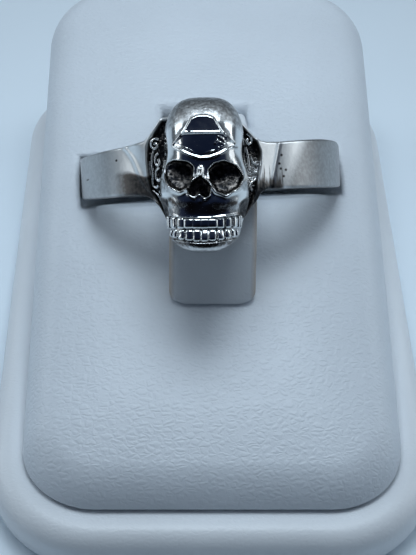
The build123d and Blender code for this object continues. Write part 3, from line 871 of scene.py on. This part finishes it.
relief += 0.16 * low_rims * (ridge(eye_left - 0.08, 0.21) + ridge(eye_right - 0.08, 0.21))
relief += 0.13 * ridge(nose - 0.05, 0.13)
for line in (CHEEK_LEFT, CHEEK_RIGHT):
    relief += 0.12 * ridge(softened(away_from(line), 0.3), 0.55)
relief += 0.05 * ridge(np.hypot(across + 0.35, upright + 2.92), 0.13)
relief += 0.12 * ridge(away_from(GUM_LINE), 0.10)
for px, pz in PITS:
    relief -= 0.05 * ridge(np.hypot(across - px, upright - pz), 0.05)


def soft_join(a, b, k):
    """The solids a and b joined, with a fillet over a distance k."""
    h = np.clip(0.5 + 0.5 * (b - a) / k, 0, 1)
    return b * (1 - h) + a * h - k * h * (1 - h)


def solid_form(x, f, z, half, power):
    """Distance, near its surface, to a squared egg round the origin."""
    u, v, w = np.abs(x / half[0]), np.abs(f / half[1]), np.abs(z / half[2])
    total = u ** power[0] + v ** power[1] + w ** power[2]
    slope = [p * q ** (p - 1) / h for p, q, h in zip(power, (u, v, w), half)]
    steep = np.sqrt(slope[0] ** 2 + slope[1] ** 2 + slope[2] ** 2)
    return np.clip((total - 1) / np.maximum(steep, 0.3), -1.6, 6)


def egg(x, f, z, half_x, half_f, half_z):
    """Distance to an egg-shaped solid round the origin."""
    reach = np.sqrt((x / half_x) ** 2 + (f / half_f) ** 2 + (z / half_z) ** 2)
    steepness = np.sqrt((x / half_x**2) ** 2 + (f / half_f**2) ** 2 + (z / half_z**2) ** 2)
    return reach * (reach - 1) / np.maximum(steepness, 1e-6)


def tooth_band(x, z):
    """Distance to the band round the jaw in which the teeth stand, less than 0 inside."""
    wide = (x + 0.1) ** 2
    return np.maximum(z - GUM_TOP - GUM_CURVE * wide, JAW_FOOT + JAW_CURVE * wide - z)


def bone(x, f, z):
    """The skull before its sockets, nose and mouth are hollowed."""
    shape = None
    for (cx, cf, cz), half, power in FORMS:
        narrowed = looked_up(CHIN_NARROWS, z) if cz < -4 else 1
        form = solid_form((x - cx) / narrowed, f - cf, z - cz, half, power)
        shape = form if shape is None else soft_join(shape, form, FORMS_BLEND)
    # Both temples and the hollows under the cheekbones are scooped out.
    for side in (-1, 1):
        cx, cf, cz = TEMPLE
        temple = np.sqrt((x - side * cx) ** 2 + (f - cf) ** 2 + (z - cz) ** 2) - TEMPLE_RADIUS
        cx, cf, cz = CHEEK_HOLLOW
        hollow = egg(x + 0.12 - side * cx, f - cf, z - cz, *CHEEK_HOLLOW_HALF)
        shape = soft_cut(soft_cut(shape, temple, 0.35), hollow, 0.30)
    return shape - on_map(relief, x, z) * np.clip((f - 13.2) / 1.3, 0, 1)


def rod(x, f, z, start, end):
    """Distance to a tapered rod with round ends."""
    (ax, af, az, ar), (bx, bf, bz, br) = start, end
    dx, df, dz = bx - ax, bf - af, bz - az
    t = np.clip(((x - ax) * dx + (f - af) * df + (z - az) * dz) / (dx * dx + df * df + dz * dz), 0, 1)
    from_line = np.sqrt((x - ax - t * dx) ** 2 + (f - af - t * df) ** 2 + (z - az - t * dz) ** 2)
    return from_line - (ar + t * (br - ar))


def skull_distance(x, y, z):
    """Distance to the skull's surface, less than 0 inside. The face looks towards -y."""
    f = -y
    shape = bone(x, f, z)
    shape = shape + TEETH_SUNK * step_down(tooth_band(x, z), 0.10) * np.clip((f - 12.6) / 0.8, 0, 1)
    # Each hollow has walls along its outline and a sloping floor, and its lip is softer low down.
    lip = 0.06 + 0.20 * step_down(z + 1.25, 0.8)
    for outline, floor, k in (
        (eye_left, 14.75 - 0.28 * (z + 0.9) - 0.15 * (x + 1.9) ** 2, 0.55),
        (eye_right, 14.70 - 0.28 * (z + 1.1) - 0.15 * (x - 1.5) ** 2, 0.55),
        (nose, 15.15 + 0.12 * (z + 1.8), 0.30),
    ):
        wall, deep = on_map(outline, x, z), floor - f
        h = np.clip(0.5 - 0.5 * (deep - wall) / k, 0, 1)
        shape = soft_cut(shape, deep * (1 - h) + wall * h + k * h * (1 - h), lip)
    shape = soft_join(shape, rod(x, f, z, *NOSE_BAR), 0.08)
    return np.maximum(shape, BORE + 0.05 - np.hypot(x, f))


skull_low, skull_high = (-3.9, -17.0, -7.2), (3.9, -9.3, 5.4)
skull_points, skull_faces = skin(skull_distance, skull_low, skull_high, SKULL_STEP)
outward = slope_of(skull_distance, skull_points, 0.02)
outward /= np.maximum(np.linalg.norm(outward, axis=1, keepdims=True), 1e-9)
# Where metal stands close all round, tarnish has stayed.
clearances = [skull_distance(*(skull_points + outward * reach).T) / reach for reach in (0.12, 0.3, 0.6)]
closed_in = sum(np.clip(1 - clear, 0, 1) for clear in clearances) / 3
skull_silver = cast_silver("skull silver", 0.07, satin="satin")
skull_placed = skull_points @ skull_axes.T + np.array(RING_CENTRE)
skull = formed_piece("ring_skull", skull_placed, skull_faces, skull_silver)
skull_x, skull_y, skull_z = skull_points.T
from_middle = skull_x + 0.1
# The sockets and the nose are black by their depth. Under the cheekbones and below the teeth dark painted
# reflections are laid on, beside the jaw the black is patina in the recess with painted shade, and under the
# cheeks lie brown painted reflections. The crown is satin but for the plate.
under_bone = -bone(skull_x, -skull_y, skull_z)
dark_hollows = np.clip((under_bone - 0.10) / 0.45, 0, 0.83)
dark_corners = np.minimum((closed_in - 0.30) / 0.45, 0.80)
# Painted dark reflection under the cheekbones.
dark_reflection_under_cheeks = 0.6 * ridge(np.maximum(2.9 - np.abs(from_middle), 0), 0.7) * ridge(skull_z + 3.75, 0.60)
# Beside the jaw: patina in the recess, and painted shade.
recess_starts = np.where(skull_x < 0, RECESS_LEFT, looked_up(RECESS_RIGHT, skull_z))
beside_jaw_patina_and_shade = np.clip((np.abs(skull_x) - recess_starts) / 0.25, 0, 1) * np.clip((-2.5 - skull_z) / 0.3, 0, 1)
beside_jaw_patina_and_shade *= np.clip((skull_z + 4.35) / 0.35, 0, 1) * (skull_y < -9)
# Painted dark reflection below the teeth.
dark_reflection_under_teeth = 0.55 * ridge(skull_z + 6.24 - 0.060 * from_middle**2, 0.24) * (skull_y < -14)
# Painted brown reflections under the cheeks.
brown_reflection_lines = np.maximum(ridge(away_from(CHEEK_SHADE_LEFT), 0.22), ridge(away_from(CHEEK_SHADE_RIGHT), 0.22))
brown_reflection_cheeks = 0.62 * on_map(brown_reflection_lines, skull_x, skull_z) * (skull_y < -13.5)
on_plate = on_map(step_down(away_from(BROW_PLATE, True) - 0.06, 0.10), skull_x, skull_z)
satin_crown = np.clip((skull_z - 3.05 + 0.10 * from_middle**2) / 0.45, 0, 1) * (1 - on_plate)
pitted = sum(ridge(np.hypot(skull_x - px, skull_z - pz), 0.065) for px, pz in PITS) * (skull_y < -12.5)
darkened = [dark_hollows, dark_corners, dark_reflection_under_cheeks, beside_jaw_patina_and_shade, dark_reflection_under_teeth, brown_reflection_cheeks]
skull_tarnish_and_shade = darkened + [0.36 * satin_crown, 0.8 * pitted]
give(skull, "tarnish_and_shade", np.clip(np.maximum.reduce(skull_tarnish_and_shade), 0, 1))
give(skull, "satin", satin_crown)
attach(skull, "root")
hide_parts("skull_ring")

# Teeth: two rows of small teeth round the jaw, part of the same silver casting. Four broad ones stand in
# front above and below, and narrow ones at the sides.
TEETH = [  # degrees round the jaw, width
    (-75, 0.30), (-66, 0.32), (-56, 0.34), (-44, 0.44), (-32, 0.56), (-20.5, 0.63), (-9.5, 0.66),
    (1.5, 0.66), (12.5, 0.63), (24, 0.56), (35, 0.48), (46, 0.40), (57, 0.34), (67, 0.32), (76, 0.30),
]
TOOTH_ROWS = [  # 1 above the bite or -1 below, name, squareness, widening in front, lean, unevenness
    (1, "upper", 0.97, 1.30, 2, (0.02, 0.02)),
    (-1, "lower", 0.14, 1.04, -13, (0.14, 0.12)),
]
BITE, TOOTH_MIDDLE = -4.97, 0.42  # height of the bite, and how far from it a tooth's middle is
TOOTH_GAP = 0.02  # from the bite to each row
TOOTH_DEEP = 0.60


def standing_blocks():
    """A tree that puts a rounded block on every point, turned and sized by the point's attributes."""
    tree, given = new_tree("standing blocks", [("Squareness", "Float"), ("Metal", "Material")])
    thirds = {"Vertices X": 3, "Vertices Y": 3, "Vertices Z": 3}
    cube = add_node(tree, "GeometryNodeMeshCube", "Mesh", thirds)
    softer = {"Mesh": cube, "Level": 1, "Edge Crease": given["Squareness"]}
    block = add_node(tree, "GeometryNodeSubdivisionSurface", "Mesh", softer)
    named = "GeometryNodeInputNamedAttribute"
    turn = add_node(tree, named, "Attribute", {"Name": "turn"}, data_type="FLOAT_VECTOR")
    size = add_node(tree, named, "Attribute", {"Name": "size"}, data_type="FLOAT_VECTOR")
    as_turn = add_node(tree, "FunctionNodeEulerToRotation", 0, {0: turn})
    stood = {"Points": given["Geometry"], "Instance": block, "Rotation": as_turn, "Scale": size}
    end_tree(tree, add_node(tree, "GeometryNodeInstanceOnPoints", "Instances", stood), given["Metal"])
    return tree


def jaw_place(turn, z):
    """Where the jaw's surface is, at an angle round from the front and a height, and which way it faces."""
    reach = np.linspace(1.5, 4.0, 400)
    middle_x, middle_f = -0.14, 12.9
    level = bone(middle_x + reach * math.sin(turn), middle_f + reach * math.cos(turn), np.full(400, z))
    r = float(np.interp(0.0, level, reach))
    at = np.array([[middle_x + r * math.sin(turn), middle_f + r * math.cos(turn), z]])
    steps = (np.array([[0.05, 0, 0]]), np.array([[0, 0.05, 0]]))
    slope = [float(bone(*(at + step).T) - bone(*(at - step).T)) for step in steps]
    return at[0], math.atan2(slope[0], slope[1])


for row, title, squareness, share, lean, (tipping, turning) in TOOTH_ROWS:
    tooth_places, tooth_turns, tooth_sizes = [], [], []
    for degrees, width in TEETH:
        (x, f, _), facing = jaw_place(math.radians(degrees), BITE + row * TOOTH_MIDDLE)
        wide = (x + 0.1) ** 2
        if row > 0:
            top, foot = GUM_TOP - 0.02 + GUM_CURVE * wide, BITE + TOOTH_GAP
        else:
            top, foot = BITE - TOOTH_GAP, JAW_FOOT + 0.04 + JAW_CURVE * wide
        back_x, back_f = x - TOOTH_DEEP / 2 * math.sin(facing), f - TOOTH_DEEP / 2 * math.cos(facing)
        local = Vector((back_x, -back_f, (top + foot) / 2))
        tooth_places.append((SKULL_TURN @ local + RING_CENTRE) * MM)
        tipped = Matrix.Rotation(math.radians(lean) + tipping * math.sin(degrees * 7), 3, "X")
        turned = Matrix.Rotation(facing + turning * math.sin(degrees * 3 + row), 3, "Z")
        tooth_turns.append((SKULL_TURN @ turned @ tipped).to_euler())
        tooth_width = width * (share if abs(degrees + 4) < 20 else 1.0)
        tooth_height = (top - foot) * (1 + 0.04 * math.sin(degrees * 5))
        tooth_sizes.append(Vector((tooth_width, TOOTH_DEEP, tooth_height)) * MM)
    spots = bpy.data.meshes.new("tooth places")
    spots.from_pydata([list(p) for p in tooth_places], [], [])
    for name, values in (("turn", tooth_turns), ("size", tooth_sizes)):
        own = spots.attributes.new(name, "FLOAT_VECTOR", "POINT")
        own.data.foreach_set("vector", np.array([list(v) for v in values], np.float32).ravel())
    settings = {"Squareness": squareness, "Metal": cast_silver(title + " tooth silver", 0.07)}
    teeth = grown("ring_teeth_" + title, placed("tooth places", spots), standing_blocks(), settings)
    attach(teeth, "root")
    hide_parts("skull_ring")

# Table, light and camera: a plain pale table under soft light from above, behind and both sides, seen from
# in front and above.
floor_mesh = bpy.data.meshes.new("table")
floor_mesh.from_pydata([(-2, -2, 0), (2, -2, 0), (2, 2, 0), (-2, 2, 0)], [], [(0, 1, 2, 3)])
pale_surface = {"Base Color": (0.83, 0.925, 1.0, 1), "Roughness": 0.6}
floor_mesh.materials.append(new_material("pale table", pale_surface)[0])
floor = placed("table", floor_mesh)
floor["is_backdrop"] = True

world = bpy.data.worlds.new("studio")
bpy.context.scene.world = world
world.use_nodes = True
sky = world.node_tree
direction = add_node(sky, "ShaderNodeTexCoord", "Generated")


def towards(x, y, z):
    """How nearly a direction in the room is the one given: 1 is the same and 0 is square to it."""
    pair = {0: direction, 1: Vector((x, y, z)).normalized()}
    return add_node(sky, "ShaderNodeVectorMath", "Value", pair, operation="DOT_PRODUCT")


# The room is bright at the sides, behind and overhead, dark where the viewer stands, and warm and dim low in
# front.
high_front_stops = [
    (0.0, (0.11, 0.13, 0.15)),
    (0.30, (0.22, 0.26, 0.30)),
    (0.50, (0.13, 0.155, 0.18)),
    (0.68, (0.016, 0.023, 0.045)),
    (1.0, (0.006, 0.010, 0.025)),
]
low_front_stops = [
    (0.0, (1, 1, 1)),
    (0.70, (0.95, 0.95, 0.95)),
    (0.86, (0.30, 0.20, 0.14)),
    (1.0, (0.13, 0.07, 0.045)),
]
high_front = add_ramp(sky, towards(-0.03, -0.74, 0.67), high_front_stops, "EASE")
low_front = add_ramp(sky, towards(0, -1, 0.02), low_front_stops, "EASE")
multiplied = {"Factor": 1.0, "A": high_front, "B": low_front}
both = add_node(sky, "ShaderNodeMix", "Result", multiplied, data_type="RGBA", blend_type="MULTIPLY")
sky.links.new(both, sky.nodes["Background"].inputs["Color"])
sky.nodes["Background"].inputs["Strength"].default_value = 1.0


def softbox(name, place, aim, size, power, colour):
    """A soft rectangular light in millimetres."""
    data = bpy.data.lights.new(name, "AREA")
    data.shape = "RECTANGLE"
    data.size, data.size_y = (s * MM for s in size)
    data.energy = power
    data.color = colour
    lamp = placed(name, data)
    lamp.location = Vector(place) * MM
    lamp.rotation_euler = (Vector(aim) - Vector(place)).to_track_quat("-Z", "Y").to_euler()
    return lamp


softbox("overhead", (0, 17, 124), (0, -4, 0), (60, 50), 0.066, (0.78, 0.90, 1.0))
softbox("high left", (-150, 52, 108), (0, 0, 8), (90, 110), 0.056, (0.80, 0.91, 1.0))
softbox("high right", (150, 52, 108), (0, 0, 8), (90, 110), 0.056, (0.80, 0.91, 1.0))
fill = softbox("fill", (0, -24, 95), (0, -8, 5), (50, 36), 0.007, (0.80, 0.90, 1.0))
fill.visible_glossy = False
softbox("left strip", (-278, -80, 85), (0, 0, 15), (50, 150), 0.036, (0.88, 0.95, 1.0))
softbox("right strip", (295, -10, 60), (0, 0, 15), (130, 110), 0.042, (0.88, 0.95, 1.0))

CAMERA_PLACE, CAMERA_LENS = Vector((-3.27, -78.82, 85.43)), 81.08
CAMERA_DOWN, CAMERA_ASIDE, CAMERA_ROLL = 0.80666, 0.04139, 0.03512  # radians
camera_data = bpy.data.cameras.new("camera")
camera_data.sensor_width = 36
camera_data.lens = CAMERA_LENS
camera_data.clip_start = 0.005
camera_data.clip_end = 5
camera = placed("camera", camera_data)
flat = math.cos(CAMERA_DOWN)
ahead = Vector((math.sin(CAMERA_ASIDE) * flat, math.cos(CAMERA_ASIDE) * flat, -math.sin(CAMERA_DOWN)))
level = Vector((math.cos(CAMERA_ASIDE), -math.sin(CAMERA_ASIDE), 0))
upward = level.cross(ahead)
camera_x = level * math.cos(CAMERA_ROLL) + upward * math.sin(CAMERA_ROLL)
camera_y = -level * math.sin(CAMERA_ROLL) + upward * math.cos(CAMERA_ROLL)
camera_turn = Matrix((camera_x, camera_y, -ahead)).transposed().to_4x4()
camera.matrix_world = Matrix.Translation(CAMERA_PLACE * MM) @ camera_turn
bpy.context.scene.camera = camera
bpy.context.scene.view_settings.view_transform = "Standard"

low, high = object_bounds()
